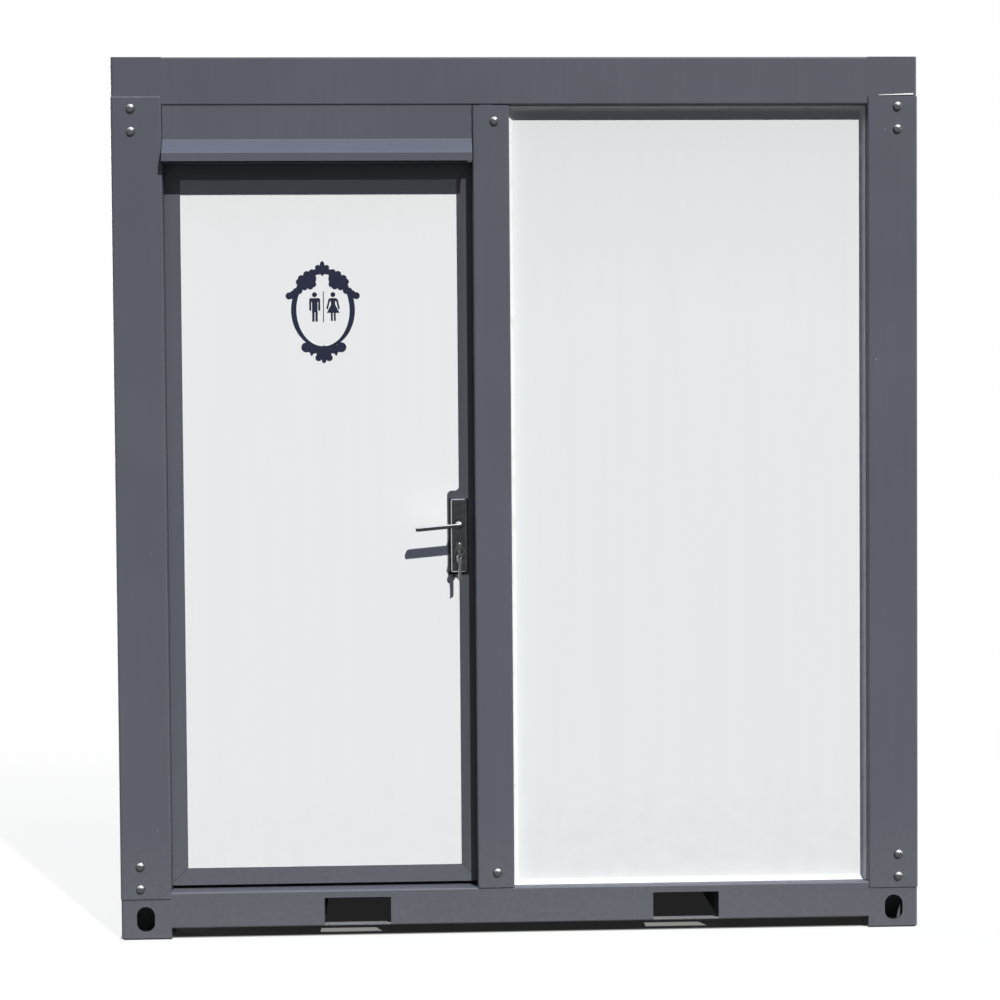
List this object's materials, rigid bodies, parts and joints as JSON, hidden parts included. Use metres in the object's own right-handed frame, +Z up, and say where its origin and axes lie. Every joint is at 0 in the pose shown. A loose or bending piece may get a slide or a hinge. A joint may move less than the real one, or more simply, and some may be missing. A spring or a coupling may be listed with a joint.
{
  "type": "portable toilet cabin",
  "caption": "Box-shaped portable toilet cabin: grey bolted steel frame, white sandwich panels, fork pockets and a hinged door with a lever lock under a drip canopy.",
  "frame": {"origin": "on the ground, in the middle of the outline seen from above", "axes": "+X to the right of someone facing the door, +Y into the cabin, +Z up"},
  "size_m": [2.106, 1.333, 2.3],
  "materials": {
    "frame_grey": "semi-gloss grey paint",
    "underframe_grey": "matt grey primer",
    "panel_white": "satin white coil coating",
    "floor_vinyl": "matt vinyl over board",
    "lock_chrome": "polished",
    "bare_steel": "zinc plated",
    "nickel": "nickel plated"
  },
  "bodies": {
    "cabin": {"base_rail_front": "frame_grey", "base_rail_rear": "frame_grey", "base_rails_side": "frame_grey", "corner_block_front_left": "frame_grey", "corner_block_front_right": "frame_grey", "corner_block_rear_left": "frame_grey", "corner_block_rear_right": "frame_grey", "corner_post_front_left": "frame_grey", "corner_post_front_right": "frame_grey", "corner_post_rear_left": "frame_grey", "corner_post_rear_right": "frame_grey", "door_canopy": "frame_grey", "door_head_panel": "panel_white", "door_header": "frame_grey", "door_hinges_frame": "bare_steel", "door_jambs": "frame_grey", "floor_deck": "floor_vinyl", "floor_joists": "underframe_grey", "fork_channels": "underframe_grey", "front_mullion": "frame_grey", "front_wall_panel": "panel_white", "left_wall_panel": "panel_white", "rear_mullion": "frame_grey", "rear_wall_panel": "panel_white", "right_wall_panel": "panel_white", "roof_panel": "panel_white", "strike_plate": "bare_steel", "top_corner_blocks": "frame_grey", "top_rail_front": "frame_grey", "top_rail_rear": "frame_grey", "top_rails_side": "frame_grey"},
    "door": {"door_panel": "panel_white", "door_rail_bottom": "frame_grey", "door_rail_top": "frame_grey", "door_stile_hinge": "frame_grey", "door_stile_lock": "frame_grey", "lock_pad": "frame_grey", "lock_plates": "lock_chrome", "lock_cylinder": "nickel", "latch_bolt": "bare_steel", "door_hinges_leaf": "bare_steel", "door_keys": "nickel"},
    "lever": {"lever_outside": "lock_chrome", "lever_inside": "lock_chrome", "lever_spindle": "bare_steel"}
  },
  "joints": [
    {"name": "door_hinge", "type": "hinge", "parent": "cabin", "child": "door", "pos_m": [-0.936, -0.5355, 1.0855], "axis": [0, 0, 1], "range_deg": [0, 85]},
    {"name": "lever_turn", "type": "hinge", "parent": "door", "child": "lever", "pos_m": [-0.1585, -0.5655, 1.083], "axis": [0, -1, 0], "range_deg": [0, 40], "stiffness_Nm_per_rad": 1.2, "springref_deg": -20.05}
  ]
}
